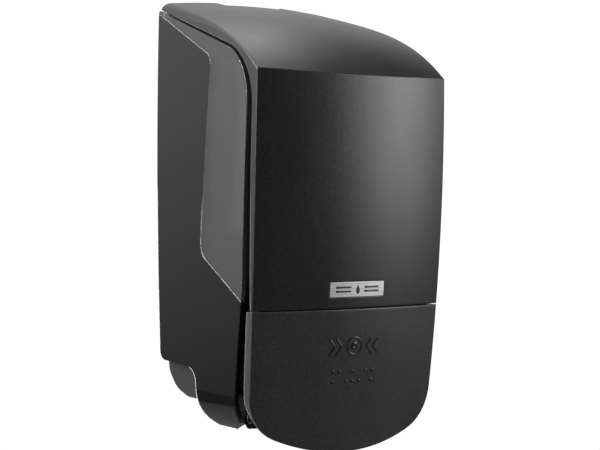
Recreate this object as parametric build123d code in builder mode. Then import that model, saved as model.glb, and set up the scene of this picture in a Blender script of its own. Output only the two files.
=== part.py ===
from build123d import *
import math
import os

# Wall mounted push soap dispenser.  Millimetres, +Z up, +X to the right seen from the front.
# The wall is the plane Y = 0 and the front faces -Y, so "depth" means distance from the wall.
# The origin is on the wall, at the centre of the four wall-screw slots.

# ---------------------------------------------------------------- driving dimensions
HALF_WIDTH = 50.0  # at the wall, at the widest height
FRONT_FLARE = 1.0  # extra half width at the front face
BOW_HEIGHT = 20.0  # height of the widest point of the bowed sides
BOW_RADIUS = 2710.0
FRONT_DEPTH = 94.5  # depth of the front face on the centre line, at its top
FRONT_BULGE_RADIUS = 195.6  # seen from above
FRONT_LEAN_RADIUS = 1225.0  # seen from the side
FRONT_TANGENT_HEIGHT = 70.0  # height where the front face is vertical
CREST_REAR = 97.2  # top edge of the sides at the wall
BOTTOM = -106.2
BOTTOM_BOW_RADIUS = 92.0
LOWER_CORNER_RADIUS = 21.0
SEAM_HEIGHT = -42.4  # between front cover and push panel
SEAM_GAP = 0.5
COVER_WALL = 2.4
SIDE_WALL = 2.1
WALL_SLOT_X = 60.0  # spacing of the wall-screw slots
WALL_SLOT_Z = 120.0
WALL_SLOT_LENGTH = 9.0
WALL_SLOT_RADIUS = 2.6

# axes of the mechanism, as (depth side) Y and Z of lines parallel to X, and the vertical pump axis
HINGE_Y, HINGE_Z = -64.0, -91.0
PUSH_Y, PUSH_Z = -79.0, -36.0
ROCKER_Y, ROCKER_Z = -66.0, -58.0
PUMP_Y = -43.0
PIN_CLEARANCE = 0.05  # radial, in every running pivot

os.makedirs("parts", exist_ok=True)


def save(piece, name):
    """Label a finished sub-part and write its STEP file."""
    piece.part.label = name
    export_step(piece.part, f"parts/{name}.step")


# ---------------------------------------------------------------- the outer form
def half_width(depth, height):
    """Half width of the body: flared towards the front and bowed along its height."""
    flare = FRONT_FLARE * depth / FRONT_DEPTH
    return HALF_WIDTH + flare - (height - BOW_HEIGHT) ** 2 / (2 * BOW_RADIUS)


def crest_height(depth):
    """Height of the edge between side and top: a gentle slope that steepens to the front."""
    return CREST_REAR - 0.25 * depth - 16 * (depth / 90) ** 4


def crest_slope(depth):
    return 0.25 + 64 / 90 * (depth / 90) ** 3


def front_block(inset):
    """Everything behind the front face, which bulges sideways and leans back downwards."""
    reach = 60.0
    face_y = inset - FRONT_DEPTH
    side_y = face_y + reach**2 / (2 * FRONT_BULGE_RADIUS)
    axis = Axis((0, FRONT_LEAN_RADIUS - FRONT_DEPTH, FRONT_TANGENT_HEIGHT), (1, 0, 0))
    with BuildPart() as block:
        with BuildSketch(Plane.XY.offset(FRONT_TANGENT_HEIGHT)) as section:
            with BuildLine():
                ThreePointArc((-reach, side_y), (0, face_y), (reach, side_y))
                Polyline((reach, side_y), (reach, 12), (-reach, 12), (-reach, side_y))
            make_face()
        revolve(axis=axis, revolution_arc=8.8)
        extrude(section.sketch, amount=45)
    return block.part


def envelope(inset):
    """The closed outer form of the whole dispenser, moved in by inset all round."""
    front = front_block(inset)
    with BuildPart() as form:
        for depth in (-5, 15, 35, 55, 70, 82, 92, 101):
            crest = crest_height(depth) - inset * math.hypot(1, crest_slope(depth))
            arch = 3.0 + 2.0 * depth / 88
            low = BOTTOM + BOTTOM_BOW_RADIUS - math.sqrt(BOTTOM_BOW_RADIUS**2 - 49**2) + inset
            wide = [half_width(depth, z) - inset for z in (low, 20, crest)]
            corner = max(0.8, 6.5 - 0.09 * depth - 0.6 * inset)
            with BuildSketch(Plane.XZ.offset(depth)) as section:
                with BuildLine():
                    ThreePointArc((-wide[0], low), (0, BOTTOM + inset), (wide[0], low))
                    ThreePointArc((wide[0], low), (wide[1], 20), (wide[2], crest))
                    ThreePointArc((wide[2], crest), (0, crest + arch), (-wide[2], crest))
                    ThreePointArc((-wide[2], crest), (-wide[1], 20), (-wide[0], low))
                make_face()
                fillet(section.vertices().group_by(Axis.Y)[0], LOWER_CORNER_RADIUS - inset)
                fillet(section.vertices().group_by(Axis.Y)[-1], corner)
        loft()
        add(front, mode=Mode.INTERSECT)
    return form.part


# ---------------------------------------------------------------- helpers for use inside a BuildPart block
def bar_x(points, radii, start, end, mode=Mode.ADD):
    """A prism along X: a rounded outline in Y and Z from X = start to X = end."""
    with BuildSketch(Plane.YZ.offset(start)) as section:
        with BuildLine():
            FilletPolyline(*points, radius=radii, close=True)
        make_face()
    extrude(section.sketch, amount=end - start, mode=mode)


def rod_x(radius, y, z, start, end, mode=Mode.ADD):
    """A round bar, or a hole, along X."""
    with BuildSketch(Plane.YZ.offset(start)) as section:
        with Locations((y, z)):
            Circle(radius)
    extrude(section.sketch, amount=end - start, mode=mode)


def rod_y(radius, x, z, start, end, mode=Mode.ADD):
    """A round bar, or a hole, along Y, from the depth start to the depth end."""
    with BuildSketch(Plane.XZ.offset(start)) as section:
        with Locations((x, z)):
            Circle(radius)
    extrude(section.sketch, amount=end - start, mode=mode)


def rod_z(radius, low, high, mode=Mode.ADD, y=PUMP_Y):
    """A round bar, or a hole, along Z, on the pump axis unless y says otherwise."""
    with BuildSketch(Plane.XY.offset(low)) as section:
        with Locations((0, y)):
            Circle(radius)
    extrude(section.sketch, amount=high - low, mode=mode)


def block(x, y, z, mode=Mode.ADD):
    """A box between two X, two Y and two Z values."""
    with Locations(((x[0] + x[1]) / 2, (y[0] + y[1]) / 2, (z[0] + z[1]) / 2)):
        Box(abs(x[1] - x[0]), abs(y[1] - y[0]), abs(z[1] - z[0]), mode=mode)


def prism_x(points, radii, start, end):
    """The same prism as bar_x, as a separate part, for cutting and keeping."""
    with BuildPart() as prism:
        bar_x(points, radii, start, end)
    return prism.part


# ---------------------------------------------------------------- skins that the shells are cut from
outer = envelope(0)
cover_core = envelope(COVER_WALL)
side_core = envelope(SIDE_WALL)
frame_core = envelope(COVER_WALL + 0.2)
web_core = envelope(COVER_WALL + 2.4)

with BuildPart() as cover_skin:
    add(outer)
    add(cover_core, mode=Mode.SUBTRACT)

with BuildPart() as side_skin:
    add(outer)
    add(side_core, mode=Mode.SUBTRACT)

with BuildPart() as inner_web:
    add(frame_core)
    add(web_core, mode=Mode.SUBTRACT)

# side view outlines, as (Y, Z)
SIDE_OUTLINE = [
    (0, 93.7), (-80.8, 65.7), (-75.0, -32), (-67.2, -78), (-64, -92), (-52, -97.3),
    (-33.5, -97.3), (-32.5, -71), (0, -69),
]
SIDE_RADII = [0, 25, 30, 30, 3, 4, 12, 7, 4]
WINDOW_OUTLINE = [(3, 93.7), (-48.9, 68.4), (-39.3, -18.5), (-95, -51), (-95, 110), (3, 110)]
WINDOW_RADII = [0, 5, 9, 0, 0, 0]
COVER_OUTLINE = [
    (-0.8, 94.3), (-84.35, 66.1), (-81.0, SEAM_HEIGHT + SEAM_GAP / 2),
    (-110, SEAM_HEIGHT + SEAM_GAP / 2), (-110, 110), (-0.8, 110),
]
COVER_RADII = [0, 28, 0, 0, 0, 0]
PANEL_OUTLINE = [
    (-77.0, -112), (-77.0, -90), (-74.4, -83), (-74.4, -77), (-78.2, SEAM_HEIGHT - SEAM_GAP / 2),
    (-110, SEAM_HEIGHT - SEAM_GAP / 2), (-110, -112),
]
PANEL_RADII = [0, 3, 6, 20, 0, 0, 0]

# ================================================================ wall unit
TRAY_HALF = 46.2
TRAY_DEPTH = 14.0
TRAY_TOP, TRAY_LOW = 88.0, -68.0
TRAY_WALL = 2.2
PLATE = 3.0
COWL_HALF = 43.8
COWL_DEPTH = 31.5
BRACKET_X = (33.9, 36.9)  # the two arms that carry the cover's hinge pins
ARM_X = (37.3, 39.5)  # the cover's hinge arms, beside those
SCREW_HEIGHTS = (-50, 10, 66)  # side-wall screws, at this depth:
SCREW_Y = -9.0
LATCH_HALF = 16.5

# the back plate runs up under the cover's top, so that the cover has no open rear edge
closure_form = envelope(COVER_WALL + 0.6)
with BuildPart() as rear_closure:
    block((-TRAY_HALF, TRAY_HALF), (0, -PLATE), (TRAY_TOP - 5, 110))
    add(closure_form, mode=Mode.INTERSECT)
    block((-LATCH_HALF - 2.4, LATCH_HALF + 2.4), (1, -PLATE - 1), (TRAY_TOP + 3, 110), Mode.SUBTRACT)

with BuildPart() as back_housing:
    with BuildSketch(Plane.XZ) as plate_outline:
        with Locations((0, (TRAY_TOP + TRAY_LOW) / 2)):
            RectangleRounded(2 * TRAY_HALF, TRAY_TOP - TRAY_LOW, 4)
    extrude(amount=TRAY_DEPTH)
    with BuildSketch(Plane.XZ.offset(PLATE)) as tray_hollow:
        with Locations((0, (TRAY_TOP + TRAY_LOW) / 2)):
            RectangleRounded(2 * (TRAY_HALF - TRAY_WALL), TRAY_TOP - TRAY_LOW - 2 * TRAY_WALL, 2)
    extrude(amount=TRAY_DEPTH, mode=Mode.SUBTRACT)
    # lower rear cowl: a rounded closed trough under the tray
    bar_x(
        [(0, TRAY_LOW + 1), (0, -74), (-7, -82), (-18, -85.5), (-COWL_DEPTH, -85.5),
         (-COWL_DEPTH, TRAY_LOW + 1)],
        [0, 8, 14, 16, 3, 0], -COWL_HALF, COWL_HALF,
    )
    bar_x(
        [(-2.4, TRAY_LOW), (-2.4, -73), (-8.4, -80.1), (-18.4, -83.2), (-COWL_DEPTH + 2.2, -83.2),
         (-COWL_DEPTH + 2.2, TRAY_LOW + 3), (-2.4, TRAY_LOW + 3)],
        [0, 6, 12, 14, 1.5, 0, 0], -COWL_HALF + 2.2, COWL_HALF - 2.2, Mode.SUBTRACT,
    )
    add(rear_closure.part)
    for sign in (-1, 1):
        near, far = sorted(sign * x for x in BRACKET_X)
        bar_x(
            [(-COWL_DEPTH + 1, -85.4), (-COWL_DEPTH + 1, -74), (-37, -74), (HINGE_Y - 1, HINGE_Z + 4.4),
             (HINGE_Y - 4.4, HINGE_Z + 1), (HINGE_Y - 4.4, HINGE_Z - 3), (HINGE_Y, HINGE_Z - 4.4),
             (-57, HINGE_Z - 3.4), (-43, HINGE_Z - 3.4)],
            [0, 0, 3, 2, 1, 2, 3, 0, 4], near, far,
        )
        rod_x(2.0, HINGE_Y, HINGE_Z, near, far, Mode.SUBTRACT)
        for height in SCREW_HEIGHTS:
            start, end = sorted((sign * (TRAY_HALF - 3), sign * (TRAY_HALF + 1)))
            rod_x(1.5, SCREW_Y, height, start, end, Mode.SUBTRACT)
    # clearance for the latch in the tray's top rim
    block((-LATCH_HALF - 2.4, LATCH_HALF + 2.4), (-PLATE, -TRAY_DEPTH - 1), (TRAY_TOP - 4, TRAY_TOP + 1),
          Mode.SUBTRACT)
    # wall-screw slots
    with BuildSketch(Plane.XZ) as slots:
        with GridLocations(WALL_SLOT_X, WALL_SLOT_Z, 2, 2):
            SlotOverall(WALL_SLOT_LENGTH, 2 * WALL_SLOT_RADIUS)
    extrude(amount=PLATE, mode=Mode.SUBTRACT)
    # holes for the bracket's screws
    for x in (-18, 18):
        rod_y(1.4, x, -45, 0, PLATE, Mode.SUBTRACT)
save(back_housing, "back_housing")

for side, sign in (("left", -1), ("right", 1)):
    region = prism_x(SIDE_OUTLINE, SIDE_RADII, sign * 39.6, sign * 60)
    window_cut = prism_x(WINDOW_OUTLINE, WINDOW_RADII, sign * 39, sign * 61)

    with BuildPart() as side_panel:
        add(side_skin.part)
        add(region, mode=Mode.INTERSECT)
        add(window_cut, mode=Mode.SUBTRACT)
        for height in SCREW_HEIGHTS:
            start, end = sorted((sign * TRAY_HALF, sign * 48.6))
            rod_x(3.4, SCREW_Y, height, start, end)
            start, end = sorted((sign * TRAY_HALF, sign * 48.2))
            rod_x(1.5, SCREW_Y, height, start, end, Mode.SUBTRACT)
    save(side_panel, f"side_panel_{side}")

    with BuildPart() as side_window:
        add(side_skin.part)
        add(region, mode=Mode.INTERSECT)
        add(window_cut, mode=Mode.INTERSECT)
    save(side_window, f"side_window_{side}")

with BuildPart() as side_panel_screws:
    for sign in (-1, 1):
        for height in SCREW_HEIGHTS:
            inner_face = TRAY_HALF - TRAY_WALL
            start, end = sorted((sign * (inner_face - 1.8), sign * inner_face))
            rod_x(2.8, SCREW_Y, height, start, end)
            start, end = sorted((sign * (inner_face - 0.4), sign * 48.0))
            rod_x(1.5, SCREW_Y, height, start, end)
save(side_panel_screws, "side_panel_screws")

# ---------------------------------------------------------------- neck bracket and the refill it carries
SHELF_TOP = -34.1
SHELF_LOW = -37.2
CHEEK_X = (24.0, 27.0)
BARREL_RADIUS = 9.5  # pump cylinder
SLOT_HALF = 10.2

with BuildPart() as neck_bracket:
    block((-CHEEK_X[1], CHEEK_X[1]), (-PLATE, -70), (SHELF_LOW, SHELF_TOP))
    block((-CHEEK_X[1], CHEEK_X[1]), (-PLATE, -PLATE - 2.6), (-52, SHELF_TOP))
    fillet(neck_bracket.edges().filter_by(Axis.Z).sort_by(Axis.Y)[:2], 3)
    rod_z(SLOT_HALF, SHELF_LOW, SHELF_TOP, Mode.SUBTRACT)
    block((-SLOT_HALF, SLOT_HALF), (PUMP_Y, -71), (SHELF_LOW, SHELF_TOP), Mode.SUBTRACT)
    for sign in (-1, 1):
        near, far = sorted(sign * x for x in CHEEK_X)
        bar_x(
            [(-34, SHELF_LOW), (-40, -46), (ROCKER_Y + 7, ROCKER_Z - 1), (ROCKER_Y + 4, ROCKER_Z - 5),
             (ROCKER_Y - 4, ROCKER_Z - 5), (ROCKER_Y - 4, SHELF_LOW)],
            [0, 8, 2, 3, 4, 0], near, far,
        )
        rod_x(1.75, ROCKER_Y, ROCKER_Z, near, far, Mode.SUBTRACT)
    for x in (-18, 18):
        rod_y(1.4, x, -45, PLATE, PLATE + 3, Mode.SUBTRACT)
save(neck_bracket, "neck_bracket")

with BuildPart() as bracket_screws:
    for x in (-18, 18):
        rod_y(1.4, x, -45, 0.4, PLATE + 2.6)
        rod_y(2.8, x, -45, PLATE + 2.6, PLATE + 4.6)
save(bracket_screws, "bracket_screws")

with BuildPart() as cover_hinge_pins:
    for sign in (-1, 1):
        start, end = sorted((sign * (BRACKET_X[0] - 1.2), sign * BRACKET_X[0]))
        rod_x(3.2, HINGE_Y, HINGE_Z, start, end)
        start, end = sorted((sign * (BRACKET_X[0] - 0.4), sign * ARM_X[1]))
        rod_x(2.0, HINGE_Y, HINGE_Z, start, end)
save(cover_hinge_pins, "cover_hinge_pins")

with BuildPart() as rocker_pins:
    for sign in (-1, 1):
        start, end = sorted((sign * 19.6, sign * CHEEK_X[1]))
        rod_x(1.75, ROCKER_Y, ROCKER_Z, start, end)
        start, end = sorted((sign * CHEEK_X[1], sign * (CHEEK_X[1] + 1.2)))
        rod_x(2.8, ROCKER_Y, ROCKER_Z, start, end)
save(rocker_pins, "rocker_pins")

# ---------------------------------------------------------------- soap bottle, upside down
BOTTLE_HALF = 38.0
BOTTLE_Y = (-16.5, -66.0)  # rear and front face
BOTTLE_TOP = 70.0
SHOULDER = -13.0
NECK_END = -29.2
BOTTLE_WALL = 1.0
NECK_RADIUS = 14.0


def bottle_form(inset):
    """The bottle's outside, moved in by inset: body with round edges and a sloping front top, and the neck."""
    rear, front = BOTTLE_Y[0] - inset, BOTTLE_Y[1] + inset
    with BuildPart() as form:
        with BuildSketch(Plane.XY.offset(SHOULDER + inset)):
            with Locations((0, (rear + front) / 2)):
                RectangleRounded(2 * (BOTTLE_HALF - inset), rear - front, 13 - inset)
        extrude(amount=BOTTLE_TOP - SHOULDER - 2 * inset)
        fillet(form.edges().group_by(Axis.Z)[-1], 9 - inset)
        fillet(form.edges().group_by(Axis.Z)[0], 7 - inset)
        rod_z(NECK_RADIUS - 1.5 * inset, NECK_END - inset, SHOULDER + 6)
    return form.part


bottle_outside = bottle_form(0)
bottle_inside = bottle_form(BOTTLE_WALL)

with BuildPart() as soap_bottle:
    add(bottle_outside)
    add(bottle_inside, mode=Mode.SUBTRACT)
save(soap_bottle, "soap_bottle")

with BuildPart() as bottle_cap:
    rod_z(17, SHELF_TOP, -17)
    rod_z(NECK_RADIUS, -31.9, -17, Mode.SUBTRACT)
    rod_z(BARREL_RADIUS, SHELF_TOP, -31, Mode.SUBTRACT)
    # grip ribs round the cap
    with BuildSketch(Plane.XY.offset(-31)) as ribs:
        with Locations((0, PUMP_Y)):
            with PolarLocations(17.1, 24):
                Circle(0.7)
    extrude(ribs.sketch, amount=13)
save(bottle_cap, "bottle_cap")

with BuildPart() as pump_cylinder:
    rod_z(BARREL_RADIUS, -40, -2)
    rod_z(13.4, -31.9, -30.2)
    rod_z(3.6, -2, 7)
    rod_z(7.0, -38, -6, Mode.SUBTRACT)
    rod_z(4.6, -40, -38, Mode.SUBTRACT)
    rod_z(2.7, -3.4, 7, Mode.SUBTRACT)
    rod_z(1.5, -6, -3.4, Mode.SUBTRACT)
save(pump_cylinder, "pump_cylinder")

with BuildPart() as cap_gasket:
    rod_z(13.4, -30.2, NECK_END)
    rod_z(BARREL_RADIUS, -30.2, NECK_END, Mode.SUBTRACT)
save(cap_gasket, "cap_gasket")

with BuildPart() as inlet_valve_ball:
    with Locations((0, PUMP_Y, -0.9)):
        Sphere(2.5)
save(inlet_valve_ball, "inlet_valve_ball")

# ---------------------------------------------------------------- latch in the top of the wall unit
LATCH_Y = (-3.4, -9.5)
GUIDE_X = LATCH_HALF + 0.3
SPRING_LOW = 62.0

with BuildPart() as latch_guide:
    for sign in (-1, 1):
        block((sign * GUIDE_X, sign * (GUIDE_X + 1.8)), (-PLATE, -TRAY_DEPTH + 2), (SPRING_LOW - 2, 90))
    block((-GUIDE_X - 1.8, GUIDE_X + 1.8), (-PLATE, -TRAY_DEPTH + 2), (SPRING_LOW - 2, SPRING_LOW))
save(latch_guide, "latch_guide")

with BuildPart() as latch_button:
    block((-LATCH_HALF, LATCH_HALF), LATCH_Y, (78, 95.2))
    fillet(latch_button.edges().group_by(Axis.Z)[-1], 0.8)
    block((-LATCH_HALF, LATCH_HALF), (-9.0, -16.0), (80, 83))
    block((-LATCH_HALF, LATCH_HALF), (-14.2, -16.0), (80, 86.2))
    # groove across the top for a thumb nail or a key
    block((-6, 6), (-6.0, -7.2), (94.2, 96), Mode.SUBTRACT)
save(latch_button, "latch_button")


def coil_spring(radius, wire, low, high, turns, y):
    """A compression spring with its closed ends flattened by the length it is given."""
    with BuildPart() as spring:
        with BuildLine() as path:
            Helix((high - low - 2 * wire) / turns, high - low - 2 * wire, radius, center=(0, y, low + wire))
        with BuildSketch(Plane(path.line @ 0, z_dir=path.line % 0)) as section:
            Circle(wire)
        sweep(section.sketch, path=path.line, is_frenet=True)
    return spring.part


latch_coil = coil_spring(2.2, 0.4, SPRING_LOW, 78, 6, (LATCH_Y[0] + LATCH_Y[1]) / 2)
with BuildPart() as latch_spring:
    add(latch_coil)
save(latch_spring, "latch_spring")

# ================================================================ cover
BADGE_SIZE = (29.0, 6.5)
BADGE_Z = -33.9
NOTCH_HALF = 18.0
NOTCH_DEPTH = 10.0
badge_bed = envelope(0.5)
badge_face = envelope(-0.25)

with BuildPart() as badge_prism:
    with BuildSketch(Plane.XZ.offset(70)) as badge_outline:
        with Locations((0, BADGE_Z)):
            RectangleRounded(*BADGE_SIZE, 0.4)
    extrude(amount=40)

with BuildPart() as badge_pocket:
    add(badge_prism.part)
    add(badge_bed, mode=Mode.SUBTRACT)

with BuildPart() as badge_plate:
    add(badge_pocket.part)
    add(badge_face, mode=Mode.INTERSECT)
save(badge_plate, "badge_plate")

cover_region = prism_x(COVER_OUTLINE, COVER_RADII, -60, 60)
with BuildPart() as front_cover:
    add(cover_skin.part)
    add(cover_region, mode=Mode.INTERSECT)
    add(badge_pocket.part, mode=Mode.SUBTRACT)
    block((-NOTCH_HALF, NOTCH_HALF), (2, -NOTCH_DEPTH), (80, 110), Mode.SUBTRACT)
save(front_cover, "front_cover")

# black frame inside the cover: two side walls, a web behind the front face and the hinge arms
FRAME_X = (39.5, 41.7)
FRAME_OUTLINE = [
    (-16, 83), (-60.5, 65.5), (-65.5, 40), (-62, -10), (-62, -42), (-65, -72), (-70.4, -75),
    (-77.6, -45), (-77.6, -41.5), (-110, -41.5), (-110, 110), (-16, 110),
]
FRAME_RADII = [0, 14, 20, 10, 6, 0, 0, 2, 0, 0, 0, 0]
ARM_OUTLINE = [
    (-70.0, -52), (-61.2, -86), (-59.8, -91), (-61.0, -95.2), (-66.2, -95.2), (-67.2, -91),
    (-69.3, -82), (-76.4, -52),
]
ARM_RADII = [0, 3, 2, 3, 3, 2, 6, 0]
WEB_OUTLINE = [(-70, -38), (-110, -38), (-110, 52), (-70, 52)]

COVER_SCREW_X = 26.0
COVER_SCREW_HEIGHTS = (-28, 40)
HEAD_GAP = 0.8  # keeps flat screw heads clear of the curved webs


def front_y(x, z, inset):
    """Y of the front face, moved in by inset, at one X and Z."""
    bulge = x**2 / (2 * FRONT_BULGE_RADIUS)
    lean = (FRONT_TANGENT_HEIGHT - z) ** 2 / (2 * FRONT_LEAN_RADIUS)
    return inset - FRONT_DEPTH + bulge + lean


def screw_hole(x, z):
    rod_y(1.3, x, z, 70, 95, Mode.SUBTRACT)


def web_screws(side_x, heights):
    """Pan head screws from inside, through a curved web into its shell."""
    for x in (-side_x, side_x):
        for z in heights:
            seat = -front_y(x, z, COVER_WALL + 2.4 + HEAD_GAP)
            rod_y(2.6, x, z, seat - 1.6, seat)
            rod_y(1.2, x, z, seat - 0.6, seat + 2.3)


frame_web = prism_x(WEB_OUTLINE, [0, 0, 0, 0], -FRAME_X[1], 0)
with BuildPart() as cover_web:
    add(inner_web.part)
    add(frame_web, mode=Mode.INTERSECT)
    for z in COVER_SCREW_HEIGHTS:
        screw_hole(-COVER_SCREW_X, z)
    mirror(about=Plane.YZ)

with BuildPart() as cover_frame:
    for sign in (-1, 1):
        near, far = sorted(sign * x for x in FRAME_X)
        bar_x(FRAME_OUTLINE, FRAME_RADII, near, far)
    add(frame_core, mode=Mode.INTERSECT)
    add(cover_web.part)
    for sign in (-1, 1):
        near, far = sorted(sign * x for x in ARM_X)
        bar_x(ARM_OUTLINE, ARM_RADII, near, far)
        rod_x(2.0 + PIN_CLEARANCE, HINGE_Y, HINGE_Z, near, far, Mode.SUBTRACT)
        near, far = sorted(sign * x for x in FRAME_X)
        rod_x(1.8, PUSH_Y, PUSH_Z, near, far, Mode.SUBTRACT)
save(cover_frame, "cover_frame")

with BuildPart() as cover_screws:
    web_screws(COVER_SCREW_X, COVER_SCREW_HEIGHTS)
save(cover_screws, "cover_screws")

# strike under the cover's top, which stands behind the latch's tooth
with BuildPart() as catch_rib:
    block((-14, 14), (-10.8, -13.8), (86.6, 105))
    add(cover_core, mode=Mode.INTERSECT)
save(catch_rib, "catch_rib")

with BuildPart() as push_pivot_pins:
    for sign in (-1, 1):
        start, end = sorted((sign * FRAME_X[0], sign * 46.0))
        rod_x(1.8, PUSH_Y, PUSH_Z, start, end)
save(push_pivot_pins, "push_pivot_pins")

# ================================================================ push panel
PUSH_ARM_X = (43.6, 45.8)
PAD_Y = -72.0
panel_region = prism_x(PANEL_OUTLINE, PANEL_RADII, -60, 60)
PUSH_SCREW_X = 28.0
PUSH_SCREW_HEIGHTS = (-54, -80)

with BuildPart() as push_panel:
    add(cover_skin.part)
    add(panel_region, mode=Mode.INTERSECT)
save(push_panel, "push_panel")

PUSH_ARM_OUTLINE = [
    (-81.4, -29), (-75.2, -29), (-75.2, -46), (-77.0, -76), (-110, -76), (-110, -44.5), (-81.4, -43.5),
]
PUSH_WEB_OUTLINE = [(-75, -47), (-110, -47), (-110, -86), (-75, -86)]
push_web_region = prism_x(PUSH_WEB_OUTLINE, [0, 0, 0, 0], -PUSH_ARM_X[1], 0)
with BuildPart() as push_web:
    add(inner_web.part)
    add(push_web_region, mode=Mode.INTERSECT)
    for z in PUSH_SCREW_HEIGHTS:
        screw_hole(-PUSH_SCREW_X, z)
    mirror(about=Plane.YZ)

with BuildPart() as push_arms:
    for sign in (-1, 1):
        near, far = sorted(sign * x for x in PUSH_ARM_X)
        bar_x(PUSH_ARM_OUTLINE, [2, 2, 8, 2, 0, 0, 0], near, far)
    # pad that drives the rocker
    block((-17, 17), (PAD_Y, -90), (-88, -73))
    add(frame_core, mode=Mode.INTERSECT)
    add(push_web.part)
    for sign in (-1, 1):
        near, far = sorted(sign * x for x in PUSH_ARM_X)
        rod_x(1.8 + PIN_CLEARANCE, PUSH_Y, PUSH_Z, near, far, Mode.SUBTRACT)
save(push_arms, "push_arms")

with BuildPart() as push_screws:
    web_screws(PUSH_SCREW_X, PUSH_SCREW_HEIGHTS)
save(push_screws, "push_screws")

# ================================================================ pump drive
ROCKER_PLATE_X = (20.3, 23.3)
NOSE = (-68.5, -80.0)  # centre of the round bar that the pad pushes
FORK = (PUMP_Y, -66.0)  # centre of the round pads under the stem's flange
BAR_RADIUS = 3.0
ROCKER_OUTLINE = [
    (ROCKER_Y - 4.6, ROCKER_Z + 4.6), (ROCKER_Y + 4.6, ROCKER_Z + 4.6), (FORK[0] + 3, FORK[1] + 3),
    (FORK[0] + 3, FORK[1] - 3), (ROCKER_Y + 5, ROCKER_Z - 9), (NOSE[0] + 3, NOSE[1] - 3),
    (NOSE[0] - 3, NOSE[1] - 3),
]
ROCKER_RADII = [4, 4, 2.9, 2.9, 6, 2.9, 2.9]

with BuildPart() as pump_rocker:
    for sign in (-1, 1):
        near, far = sorted(sign * x for x in ROCKER_PLATE_X)
        bar_x(ROCKER_OUTLINE, ROCKER_RADII, near, far)
        rod_x(1.75 + PIN_CLEARANCE, ROCKER_Y, ROCKER_Z, near, far, Mode.SUBTRACT)
        start, end = sorted((sign * 9.5, sign * ROCKER_PLATE_X[1]))
        rod_x(BAR_RADIUS, *FORK, start, end)
    rod_x(BAR_RADIUS, *NOSE, -ROCKER_PLATE_X[1], ROCKER_PLATE_X[1])
save(pump_rocker, "pump_rocker")

FLANGE_LOW = FORK[1] + BAR_RADIUS + 0.3
FLANGE_TOP = FLANGE_LOW + 2.5
with BuildPart() as pump_stem:
    rod_z(4.5, FLANGE_LOW, -20)
    rod_z(17, FLANGE_LOW, FLANGE_TOP)
    rod_z(6.0, -85, FLANGE_LOW)
    rod_z(5.2, -26, -20)
    rod_z(1.5, -85, -20, Mode.SUBTRACT)
save(pump_stem, "pump_stem")

with BuildPart() as piston_seal:
    rod_z(6.95, -25, -21)
    rod_z(5.2, -25, -21, Mode.SUBTRACT)
save(piston_seal, "piston_seal")

with BuildPart() as nozzle_tip:
    rod_z(7.2, -92, -82)
    chamfer(nozzle_tip.edges().group_by(Axis.Z)[0], 2.4)
    rod_z(6.0, -85, -82, Mode.SUBTRACT)
    rod_z(1.5, -92, -85, Mode.SUBTRACT)
save(nozzle_tip, "nozzle_tip")

pump_coil = coil_spring(7.6, 0.7, FLANGE_TOP, -40, 6, PUMP_Y)
with BuildPart() as pump_spring:
    add(pump_coil)
save(pump_spring, "pump_spring")
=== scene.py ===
import math

import bmesh
import bpy
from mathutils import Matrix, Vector


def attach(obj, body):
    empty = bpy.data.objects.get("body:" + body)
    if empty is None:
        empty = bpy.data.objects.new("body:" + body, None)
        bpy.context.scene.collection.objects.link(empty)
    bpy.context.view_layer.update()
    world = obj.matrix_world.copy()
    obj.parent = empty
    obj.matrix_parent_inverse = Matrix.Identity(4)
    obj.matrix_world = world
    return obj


# Looks of the wall mounted soap dispenser, in metres.  +Z is up and the front faces -Y.

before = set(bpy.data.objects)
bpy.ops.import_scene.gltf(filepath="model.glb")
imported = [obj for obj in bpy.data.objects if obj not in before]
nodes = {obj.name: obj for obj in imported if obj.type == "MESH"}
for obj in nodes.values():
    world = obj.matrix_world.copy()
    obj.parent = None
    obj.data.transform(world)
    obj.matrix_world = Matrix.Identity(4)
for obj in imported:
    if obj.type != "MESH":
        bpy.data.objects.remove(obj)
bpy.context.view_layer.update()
scene = bpy.context.scene


# ---------------------------------------------------------------- object helpers
def add_object(name, data):
    """A new object in the scene, holding the given mesh, light or camera."""
    item = bpy.data.objects.new(name, data)
    scene.collection.objects.link(item)
    return item


def close_mesh(shape, name):
    """Turns a finished bmesh into a mesh and frees it."""
    mesh = bpy.data.meshes.new(name)
    shape.to_mesh(mesh)
    shape.free()
    return mesh


# ---------------------------------------------------------------- node helpers
BEVEL_SAMPLES = 6


def grey(level):
    return level, level, level


def new_material(name):
    """A material whose tree holds one Principled shader joined to the output."""
    material = bpy.data.materials.new(name)
    material.use_nodes = True
    tree = material.node_tree
    tree.nodes.clear()
    output = tree.nodes.new("ShaderNodeOutputMaterial")
    shader = tree.nodes.new("ShaderNodeBsdfPrincipled")
    tree.links.new(shader.outputs["BSDF"], output.inputs["Surface"])
    return material, tree, shader


def position(tree, scale=(1, 1, 1), turn=(0, 0, 0)):
    """Object coordinates in metres, scaled to stretch or squeeze a pattern."""
    coords = tree.nodes.new("ShaderNodeTexCoord")
    mapping = tree.nodes.new("ShaderNodeMapping")
    mapping.inputs["Scale"].default_value = scale
    mapping.inputs["Rotation"].default_value = turn
    tree.links.new(coords.outputs["Object"], mapping.inputs["Vector"])
    return mapping.outputs["Vector"]


def noise(tree, vector, scale, detail=3.0, roughness=0.55):
    """A 0 to 1 noise pattern. The scale is roughly its number of cells in a metre."""
    node = tree.nodes.new("ShaderNodeTexNoise")
    node.inputs["Scale"].default_value = scale
    node.inputs["Detail"].default_value = detail
    node.inputs["Roughness"].default_value = roughness
    tree.links.new(vector, node.inputs["Vector"])
    return node.outputs["Fac"]


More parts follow.
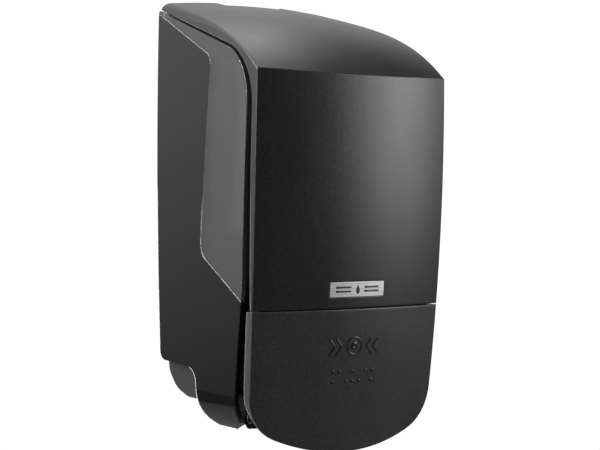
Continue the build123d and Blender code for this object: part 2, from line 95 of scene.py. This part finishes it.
def spread(tree, value, low, high, start=0.3, end=0.7):
    """Maps a value's stretch from start to end to the range low to high."""
    node = tree.nodes.new("ShaderNodeMapRange")
    for name, number in (("From Min", start), ("From Max", end), ("To Min", low), ("To Max", high)):
        node.inputs[name].default_value = number
    tree.links.new(value, node.inputs["Value"])
    return node.outputs["Result"]


def blend_colour(tree, factor, low, high):
    """The colour low where the factor is 0, and high where it is 1."""
    node = tree.nodes.new("ShaderNodeMix")
    node.data_type = "RGBA"
    colours = [socket for socket in node.inputs if socket.type == "RGBA"]
    colours[0].default_value = (*low, 1)
    colours[1].default_value = (*high, 1)
    tree.links.new(factor, node.inputs[0])
    return next(socket for socket in node.outputs if socket.type == "RGBA")


def combine(tree, operation, a, b=0.0):
    """A Math node on sockets or plain numbers."""
    node = tree.nodes.new("ShaderNodeMath")
    node.operation = operation
    for socket, value in zip(node.inputs, (a, b)):
        if isinstance(value, (int, float)):
            socket.default_value = value
        else:
            tree.links.new(value, socket)
    return node.outputs["Value"]


def rounded_normal(tree, radius):
    """The surface's normal as it would be with its sharp edges rounded to the radius."""
    bevel = tree.nodes.new("ShaderNodeBevel")
    bevel.samples = BEVEL_SAMPLES
    bevel.inputs["Radius"].default_value = radius
    return bevel.outputs["Normal"]


def bumps(tree, shader, layers, rounding):
    """Stacks bump layers (height, strength, distance) on the normal, over softly rounded edges."""
    normal = rounded_normal(tree, rounding)
    for height, strength, distance in layers:
        bump = tree.nodes.new("ShaderNodeBump")
        bump.inputs["Strength"].default_value = strength
        bump.inputs["Distance"].default_value = distance
        tree.links.new(height, bump.inputs["Height"])
        tree.links.new(normal, bump.inputs["Normal"])
        normal = bump.outputs["Normal"]
    tree.links.new(normal, shader.inputs["Normal"])


def edge_mask(tree, radius):
    """1 along sharp edges and 0 on open faces, from how far the rounded normal leans."""
    geometry = tree.nodes.new("ShaderNodeNewGeometry")
    dot = tree.nodes.new("ShaderNodeVectorMath")
    dot.operation = "DOT_PRODUCT"
    tree.links.new(rounded_normal(tree, radius), dot.inputs[0])
    tree.links.new(geometry.outputs["Normal"], dot.inputs[1])
    return spread(tree, dot.outputs["Value"], low=1.0, high=0.0, start=0.75, end=0.97)


def side_facing(tree):
    """1 on faces that look sideways, 0 on a panel's cut edges."""
    geometry = tree.nodes.new("ShaderNodeNewGeometry")
    axes = tree.nodes.new("ShaderNodeSeparateXYZ")
    tree.links.new(geometry.outputs["True Normal"], axes.inputs["Vector"])
    sideways = combine(tree, "ABSOLUTE", axes.outputs["X"])
    return spread(tree, sideways, low=0.0, high=1.0, start=0.45, end=0.6)


def camera_choice(tree, for_light, for_camera):
    """For the stage only: light and reflections meet one shader, while the camera sees the other."""
    path = tree.nodes.new("ShaderNodeLightPath")
    choose = tree.nodes.new("ShaderNodeMixShader")
    tree.links.new(path.outputs["Is Camera Ray"], choose.inputs[0])
    tree.links.new(for_light, choose.inputs[1])
    tree.links.new(for_camera, choose.inputs[2])
    return choose.outputs[0]


# ---------------------------------------------------------------- materials
def textured_satin(name, grain=1.0, base=0.008, shine=(0.31, 0.39), rounding=0.0011):
    """Spark-textured black ABS: fine grain, faint handling marks and lighter worn edges."""
    material, tree, shader = new_material(name)
    place = position(tree)
    grains = noise(tree, place, scale=1500, detail=2.0, roughness=0.6)
    coarse = noise(tree, place, scale=620, detail=2.0, roughness=0.5)
    marks = noise(tree, position(tree, (1, 1, 0.35)), scale=26, detail=4.0, roughness=0.6)
    flow = noise(tree, position(tree, (1, 1, 0.2)), scale=9, detail=2.0)

    patchy = spread(tree, marks, low=0.3, high=1.0)
    worn = combine(tree, "MULTIPLY", edge_mask(tree, rounding), patchy)
    body = spread(tree, grains, low=0.0, high=1.0, start=0.35, end=0.75)
    tone = combine(tree, "MAXIMUM", combine(tree, "MULTIPLY", body, 0.45), worn)
    dark = (base, base, base * 1.04)
    light = (base * 4.2, base * 4.2, base * 4.3)
    tree.links.new(blend_colour(tree, tone, dark, light), shader.inputs["Base Color"])

    rough = combine(tree, "ADD", spread(tree, marks, *shine), spread(tree, grains, low=-0.03, high=0.05))
    tree.links.new(rough, shader.inputs["Roughness"])
    shader.inputs["IOR"].default_value = 1.5
    layers = [(flow, 0.15, 0.0004), (coarse, 0.25 * grain, 0.00006), (grains, 0.55 * grain, 0.00005)]
    bumps(tree, shader, layers, rounding)
    return material


def gloss_black(name):
    """Polished black ABS: mould flow waves, hairline scratches, faint finger marks and some dust."""
    material, tree, shader = new_material(name)
    place = position(tree)
    flow = noise(tree, position(tree, (1, 0.8, 0.25)), scale=16, detail=2.0)
    marks = noise(tree, place, scale=38, detail=5.0, roughness=0.65)
    scratches = noise(tree, position(tree, (1, 1, 0.03), (0.5, 0, 0)), scale=2400, detail=1.0)
    dust = noise(tree, place, scale=900, detail=1.0)

    speck = spread(tree, dust, low=0.0, high=1.0, start=0.72, end=0.78)
    colour = blend_colour(tree, speck, (0.0065, 0.0065, 0.0068), grey(0.02))
    tree.links.new(colour, shader.inputs["Base Color"])

    smudged = spread(tree, marks, low=0.05, high=0.13)
    scratched = spread(tree, scratches, low=0.0, high=0.04, start=0.6, end=0.8)
    tree.links.new(combine(tree, "ADD", smudged, scratched), shader.inputs["Roughness"])
    shader.inputs["IOR"].default_value = 1.52
    bumps(tree, shader, [(flow, 0.12, 0.0005), (scratches, 0.03, 0.00002)], rounding=0.0009)
    return material


def smoke_window(name):
    """Smoked clear plastic: a polished, scuffed, see-through grey face and solid cut edges."""
    material, tree, shader = new_material(name)
    flow = noise(tree, position(tree, (1, 0.8, 0.25)), scale=16, detail=2.0)
    marks = noise(tree, position(tree), scale=45, detail=5.0, roughness=0.65)
    cloud = noise(tree, position(tree, (1, 1, 0.5)), scale=7, detail=2.0)

    tint = spread(tree, cloud, low=0.0, high=1.0)
    colour = blend_colour(tree, tint, (0.062, 0.062, 0.064), (0.080, 0.080, 0.082))
    tree.links.new(colour, shader.inputs["Base Color"])
    tree.links.new(spread(tree, marks, low=0.04, high=0.12), shader.inputs["Roughness"])
    shader.inputs["IOR"].default_value = 1.58
    shader.inputs["Specular IOR Level"].default_value = 0.8
    solidity = spread(tree, side_facing(tree), low=1.0, high=0.62, start=0.0, end=1.0)
    tree.links.new(solidity, shader.inputs["Alpha"])
    bumps(tree, shader, [(flow, 0.1, 0.0005)], rounding=0.0007)
    return material


def moulded(name, dark, light, shine, grain_scale=700, grain=0.25, subsurface=0.0, rounding=0.0005,
            shine_level=0.5):
    """Plain moulded plastic or rubber: tonal mottling, a fine moulded grain and lighter edges."""
    material, tree, shader = new_material(name)
    place = position(tree)
    mottle = noise(tree, place, scale=30, detail=4.0, roughness=0.6)
    grains = noise(tree, place, scale=grain_scale, detail=2.0)

    worn = combine(tree, "MULTIPLY", edge_mask(tree, rounding * 1.2), 0.6)
    tone = combine(tree, "MAXIMUM", spread(tree, mottle, low=0.0, high=0.6), worn)
    tree.links.new(blend_colour(tree, tone, dark, light), shader.inputs["Base Color"])
    tree.links.new(spread(tree, mottle, *shine), shader.inputs["Roughness"])
    shader.inputs["Specular IOR Level"].default_value = shine_level
    if subsurface:
        shader.inputs["Subsurface Weight"].default_value = subsurface
        shader.inputs["Subsurface Radius"].default_value = (0.004, 0.004, 0.0035)
        shader.inputs["Subsurface Scale"].default_value = 1.0
    bumps(tree, shader, [(mottle, 0.08, 0.0004), (grains, grain, 0.00005)], rounding)
    return material


def brushed(name, colour, shine, direction, scale, metal=1.0):
    """Metal with fine parallel brushing, stretched along one axis, and slightly dulled patches."""
    material, tree, shader = new_material(name)
    lines = noise(tree, position(tree, direction), scale, detail=2.0)
    patches = noise(tree, position(tree), scale=120, detail=3.0)

    dull = tuple(channel * 0.72 for channel in colour)
    tone = spread(tree, lines, low=0.0, high=1.0)
    tree.links.new(blend_colour(tree, tone, dull, colour), shader.inputs["Base Color"])
    shader.inputs["Metallic"].default_value = metal
    rough = combine(tree, "ADD", spread(tree, patches, *shine), spread(tree, lines, low=0.0, high=0.08))
    tree.links.new(rough, shader.inputs["Roughness"])
    bumps(tree, shader, [(lines, 0.12, 0.00003)], rounding=0.0003)
    return material


cover_satin = textured_satin("cover_satin_black")
panel_satin = textured_satin("panel_satin_black", base=0.017, shine=(0.34, 0.44))
mark_gloss = textured_satin("moulded_mark_black", grain=0.3, base=0.006, shine=(0.3, 0.4), rounding=0.0002)
shell_gloss = gloss_black("shell_gloss_black")
window = smoke_window("smoked_window")
# the inner parts' black is made darker and duller than their plastic: painted shade, so the inner parts seen
# through the gaps look like a shadowed cavity
inner = moulded("inner_black", grey(0.002), grey(0.008), shine=(0.6, 0.75), shine_level=0.15)
housing = moulded("housing_black", grey(0.013), grey(0.022), shine=(0.38, 0.46), grain_scale=800, grain=0.3)
bottle = moulded(
    "milky_bottle", (0.70, 0.71, 0.70), (0.82, 0.83, 0.82), shine=(0.28, 0.42),
    grain_scale=420, grain=0.18, subsurface=0.25,
)
pump = moulded(
    "pump_white", (0.76, 0.76, 0.75), (0.86, 0.86, 0.85), shine=(0.2, 0.34),
    grain_scale=900, grain=0.08, subsurface=0.1,
)
rubber = moulded("seal_rubber", grey(0.02), grey(0.05), shine=(0.6, 0.8), grain_scale=500, grain=0.2)
badge = brushed(
    "badge_aluminium", grey(0.80), shine=(0.30, 0.38), direction=(0.04, 1, 1), scale=1700, metal=0.45,
)
emblem = moulded(
    "emblem_ink", (0.012, 0.012, 0.013), grey(0.03), shine=(0.3, 0.4),
    grain_scale=1200, grain=0.1, rounding=0.0002,
)
steel = brushed("plated_steel", (0.62, 0.62, 0.63), shine=(0.22, 0.34), direction=(1, 1, 0.2), scale=900)

FINISH = {
    cover_satin: ["front_cover"],
    panel_satin: ["push_panel"],
    shell_gloss: ["side_panel_left", "side_panel_right"],
    window: ["side_window_left", "side_window_right"],
    housing: ["back_housing", "latch_button"],
    inner: ["neck_bracket", "latch_guide", "cover_frame", "catch_rib", "push_arms", "pump_rocker"],
    bottle: ["soap_bottle"],
    pump: ["bottle_cap", "pump_cylinder", "pump_stem", "nozzle_tip"],
    rubber: ["cap_gasket", "piston_seal"],
    badge: ["badge_plate"],
    steel: [
        "side_panel_screws", "bracket_screws", "cover_hinge_pins", "rocker_pins", "latch_spring",
        "inlet_valve_ball", "pump_spring", "cover_screws", "push_pivot_pins", "push_screws",
    ],
}
for material, names in FINISH.items():
    for name in names:
        nodes[name].data.materials.clear()
        nodes[name].data.materials.append(material)


# ---------------------------------------------------------------- raised marks
# the front face stands furthest forward on its centre line at the tangent height, and curves back from there
FRONT_DEPTH = 0.0945
BULGE_RADIUS = 0.1956
LEAN_RADIUS = 1.225
TANGENT_HEIGHT = 0.070

# a strip's shoulders: how far out they lie from its centre line, and how high, as shares of the whole
SHOULDER_REACH = 0.86
SHOULDER_LIFT = 0.75

# how far the foot of a mark is sunk into the face that it stands on
STRIP_SINK = 0.00002
DOT_SINK = 0.00004


def front_y(x, z, proud):
    """Y of the front face at X and Z, standing proud of it by the given height."""
    bulge = BULGE_RADIUS - math.sqrt(BULGE_RADIUS**2 - x**2)
    return bulge + (TANGENT_HEIGHT - z) ** 2 / (2 * LEAN_RADIUS) - FRONT_DEPTH - proud


def strip_section(inner_edge, outer_edge):
    """Points (x, z, lift) across a strip: up from one edge, over the centre and down to the other."""
    centre = tuple((a + b) / 2 for a, b in zip(inner_edge, outer_edge))
    shoulders = [
        tuple(e * SHOULDER_REACH + c * (1 - SHOULDER_REACH) for e, c in zip(edge, centre))
        for edge in (inner_edge, outer_edge)
    ]
    return [
        (*inner_edge, 0.0), (*shoulders[0], SHOULDER_LIFT), (*centre, 1.0),
        (*shoulders[1], SHOULDER_LIFT), (*outer_edge, 0.0),
    ]


def add_relief(shape, outlines, centre_z, base, height):
    """Adds strips to a bmesh: each outline is a row of pairs (inner point, outer point).

    An outline that ends on the pair that it starts with is joined up, and any other gets end faces.
    """
    for outline in outlines:
        closed = outline[0] == outline[-1]
        rows = [
            [
                shape.verts.new((x, front_y(x, z + centre_z, base + lift * height), z + centre_z))
                for x, z, lift in strip_section(*pair)
            ]
            for pair in (outline[:-1] if closed else outline)
        ]
        if closed:
            rows.append(rows[0])
        for first, second in zip(rows, rows[1:]):
            for i in range(len(first) - 1):
                shape.faces.new((first[i], first[i + 1], second[i + 1], second[i]))
        if not closed:
            for row in (rows[0], rows[-1]):
                shape.faces.new(row)


def ring(radius, width, steps=48):
    """A flat ring as inner and outer points, closed."""
    turns = [2 * math.pi * i / steps for i in range(steps)]
    pairs = [
        tuple((r * math.cos(turn), r * math.sin(turn)) for r in (radius - width / 2, radius + width / 2))
        for turn in turns
    ]
    return pairs + pairs[:1]


def stroke(points, width, steps=6):
    """A mitred line through points, as left and right points, with extra steps to follow the curve."""
    dense = []
    for (ax, az), (bx, bz) in zip(points, points[1:]):
        dense += [(ax + (bx - ax) * i / steps, az + (bz - az) * i / steps) for i in range(steps)]
    dense.append(points[-1])
    pairs = []
    for i, point in enumerate(dense):
        before = Vector(dense[max(i - 1, 0)])
        after = Vector(dense[min(i + 1, len(dense) - 1)])
        here = Vector(point)
        into = (here - before).normalized() if i else (after - here).normalized()
        out = (after - here).normalized() if i < len(dense) - 1 else into
        along = (into + out).normalized()
        side = Vector((-along.y, along.x)) * (width / 2 / max(0.5, along.dot(into)))
        pairs.append((tuple(here + side), tuple(here - side)))
    return pairs


def finish_piece(shape, name, body, material):
    """Makes a smooth piece of a bmesh, which moves with the given body."""
    bmesh.ops.recalc_face_normals(shape, faces=shape.faces)
    mesh = close_mesh(shape, name)
    for face in mesh.polygons:
        face.use_smooth = True
    mesh.materials.append(material)
    piece = add_object(name, mesh)
    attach(piece, body)


# ---------------------------------------------------------------- press mark on the push panel
PRESS_Z = -0.0590
PRESS_HEIGHT = 0.00022
PRESS_LINE = 0.0011
PRESS_RING_RADIUS = 0.0038
PAD_RADIUS = 0.0010
PAD_WIDTH = 0.0019
CHEVRON_TIPS = (0.0066, 0.0103)
CHEVRON_DEPTH = 0.0030
CHEVRON_HALF_HEIGHT = 0.0036


def press_mark():
    """A generic mark: a ring with a centre pad, and two chevrons pointing at it from each side."""
    outlines = [ring(PRESS_RING_RADIUS, PRESS_LINE), ring(PAD_RADIUS, PAD_WIDTH, steps=24)]
    for sign in (-1, 1):
        for tip in CHEVRON_TIPS:
            open_end = sign * (tip + CHEVRON_DEPTH)
            points = [(open_end, CHEVRON_HALF_HEIGHT), (sign * tip, 0.0), (open_end, -CHEVRON_HALF_HEIGHT)]
            outlines.append(stroke(points, PRESS_LINE))
    shape = bmesh.new()
    add_relief(shape, outlines, PRESS_Z, -STRIP_SINK, PRESS_HEIGHT)
    finish_piece(shape, "press_mark", "push", mark_gloss)


# ---------------------------------------------------------------- tactile dots under the press mark
DOT_RADIUS = 0.00078
DOT_HEIGHT = 0.00040
DOT_SIDES = 20
DOT_LEVELS = 5
DOT_ROWS = {
    -0.0700: (-0.0105, -0.0070, 0.0, 0.0070, 0.0105),
    -0.0745: (-0.0105, -0.0035, 0.0, 0.0035, 0.0105),
}


def add_dot(shape, x, z):
    """Adds a dome to a bmesh: rings of points that close in as they rise, and one point on top."""
    turns = [2 * math.pi * i / DOT_SIDES for i in range(DOT_SIDES)]
    levels = []
    for level in range(DOT_LEVELS):
        lift = math.pi / 2 * level / DOT_LEVELS
        reach = DOT_RADIUS * math.cos(lift)
        y = front_y(x, z, DOT_HEIGHT * math.sin(lift) - DOT_SINK)
        levels.append([
            shape.verts.new((x + reach * math.cos(turn), y, z + reach * math.sin(turn))) for turn in turns
        ])
    top = shape.verts.new((x, front_y(x, z, DOT_HEIGHT - DOT_SINK), z))
    sides = [(i, (i + 1) % DOT_SIDES) for i in range(DOT_SIDES)]
    for lower, upper in zip(levels, levels[1:]):
        for here, after in sides:
            shape.faces.new((lower[here], lower[after], upper[after], upper[here]))
    for here, after in sides:
        shape.faces.new((levels[-1][here], levels[-1][after], top))


def tactile_dots():
    """Two rows of dots that spell nothing."""
    shape = bmesh.new()
    for z, places in DOT_ROWS.items():
        for x in places:
            add_dot(shape, x, z)
    finish_piece(shape, "tactile_dots", "push", mark_gloss)


# ---------------------------------------------------------------- emblem on the badge
BADGE_Z = -0.0339
BADGE_PROUD = 0.00025
EMBLEM_HEIGHT = 0.00009
DROP_STEPS = 40
DROP_HALF_WIDTH = 0.00135
DROP_HALF_HEIGHT = 0.0021
DROP_TAPER = 1.2
DROP_CORE_Z = -0.0002
DROP_CORE_SHARE = 0.02
BAR_ENDS = (0.0036, 0.0115)
BAR_HEIGHTS = (-0.0009, 0.0009)
BAR_WIDTH = 0.0009


def drop_outline():
    """A drop, pointed at the top, as pairs of a point on a short core line and one on its edge."""
    pairs = []
    for i in range(DROP_STEPS):
        turn = 2 * math.pi * i / DROP_STEPS
        wide = DROP_HALF_WIDTH * math.sin(turn) * math.sin(turn / 2) ** DROP_TAPER
        tall = DROP_HALF_HEIGHT * math.cos(turn)
        pairs.append(((0.0, tall * DROP_CORE_SHARE + DROP_CORE_Z), (wide, tall)))
    return pairs + pairs[:1]


def badge_emblem():
    """A drop between two pairs of bars."""
    outlines = [drop_outline()]
    for sign in (-1, 1):
        for z in BAR_HEIGHTS:
            outlines.append(stroke([(sign * end, z) for end in BAR_ENDS], BAR_WIDTH))
    shape = bmesh.new()
    add_relief(shape, outlines, BADGE_Z, BADGE_PROUD - STRIP_SINK, EMBLEM_HEIGHT)
    finish_piece(shape, "badge_emblem", "cover", emblem)


# ---------------------------------------------------------------- floor, light and camera
FLOOR_RADIUS = 1.3
FLOOR_SIDES = 96
FLOOR_Z = -0.62
FLOOR_SHADE_FOR_LIGHT = 0.16
BACKDROP_STRENGTH = 1.05
LIT_CENTRE = Vector((0, -0.05, 0))
CAMERA_PLACE = (-0.3979, -0.6292, 0.0021)
CAMERA_TILT = 89.32
CAMERA_TURN = -34.27
CAMERA_LENS = 91.8
SENSOR_WIDTH = 36.0


def stage_floor():
    """A round floor well below the dispenser: pale to the camera, and dim to light and reflections."""
    material, tree, shader = new_material("floor_paint")
    mottle = noise(tree, position(tree), scale=3)
    tree.links.new(blend_colour(tree, mottle, grey(0.88), grey(0.93)), shader.inputs["Base Color"])
    tree.links.new(spread(tree, mottle, low=0.6, high=0.75), shader.inputs["Roughness"])
    dim = tree.nodes.new("ShaderNodeBsdfDiffuse")
    dim.inputs["Color"].default_value = (*grey(FLOOR_SHADE_FOR_LIGHT), 1)
    output = next(node for node in tree.nodes if node.type == "OUTPUT_MATERIAL")
    surface = camera_choice(tree, for_light=dim.outputs[0], for_camera=shader.outputs[0])
    tree.links.new(surface, output.inputs["Surface"])

    shape = bmesh.new()
    bmesh.ops.create_circle(shape, cap_ends=True, segments=FLOOR_SIDES, radius=FLOOR_RADIUS)
    floor = add_object("floor", close_mesh(shape, "floor"))
    floor.location = (0, 0, FLOOR_Z)
    floor.data.materials.append(material)


def studio_world():
    """White to the camera; for light and reflections, a grey room.

    Behind the object the room turns from dark to light at about eye level. Elsewhere it stays nearly dark.
    """
    world = bpy.data.worlds.new("studio")
    scene.world = world
    world.use_nodes = True
    tree = world.node_tree
    tree.nodes.clear()
    output = tree.nodes.new("ShaderNodeOutputWorld")
    coords = tree.nodes.new("ShaderNodeTexCoord")
    axes = tree.nodes.new("ShaderNodeSeparateXYZ")
    tree.links.new(coords.outputs["Generated"], axes.inputs["Vector"])
    behind = spread(tree, axes.outputs["Y"], low=0.0, high=1.0, start=0.2, end=0.6)
    elsewhere_light = spread(tree, axes.outputs["Z"], low=0.02, high=0.05, start=-0.4, end=0.9)
    behind_light = spread(tree, axes.outputs["Z"], low=0.02, high=0.71, start=-0.21, end=0.17)
    mix = tree.nodes.new("ShaderNodeMix")
    mix.data_type = "FLOAT"
    tree.links.new(behind, mix.inputs[0])
    tree.links.new(elsewhere_light, mix.inputs[2])
    tree.links.new(behind_light, mix.inputs[3])
    room = tree.nodes.new("ShaderNodeBackground")
    tree.links.new(mix.outputs[0], room.inputs["Strength"])
    backdrop = tree.nodes.new("ShaderNodeBackground")
    backdrop.inputs["Strength"].default_value = BACKDROP_STRENGTH
    for node in (room, backdrop):
        node.inputs["Color"].default_value = (*grey(1), 1)
    surface = camera_choice(tree, for_light=room.outputs[0], for_camera=backdrop.outputs[0])
    tree.links.new(surface, output.inputs["Surface"])


def softbox(name, towards, distance, size, power):
    """A rectangular area light in the given direction from the object, facing it."""
    light = bpy.data.lights.new(name, "AREA")
    light.shape = "RECTANGLE"
    light.size, light.size_y = size
    light.energy = power
    away = Vector(towards).normalized()
    lamp = add_object(name, light)
    lamp.location = away * distance + LIT_CENTRE
    lamp.rotation_euler = away.to_track_quat("Z", "Y").to_euler()


def place_camera():
    """The camera, in front of the object and to its -X side, about level with its middle."""
    data = bpy.data.cameras.new("camera")
    data.lens = CAMERA_LENS
    data.sensor_width = SENSOR_WIDTH
    camera = add_object("camera", data)
    camera.location = CAMERA_PLACE
    camera.rotation_euler = (math.radians(CAMERA_TILT), 0, math.radians(CAMERA_TURN))
    scene.camera = camera


press_mark()
tactile_dots()
badge_emblem()

stage_floor()
studio_world()
softbox("key", towards=(0.75, -0.65, 0.28), distance=1.3, size=(0.5, 0.9), power=13)
softbox("top", towards=(0.0, 0.30, 0.92), distance=1.2, size=(1.2, 0.8), power=9)
softbox("rim", towards=(-0.86, -0.5, 0.1), distance=1.4, size=(0.10, 1.4), power=4)
softbox("side", towards=(-0.90, 0.40, 0.42), distance=1.3, size=(0.4, 0.7), power=26)
softbox("back", towards=(0.15, 0.98, -0.28), distance=1.5, size=(0.9, 0.9), power=16)
place_camera()
scene.view_settings.view_transform = "Standard"
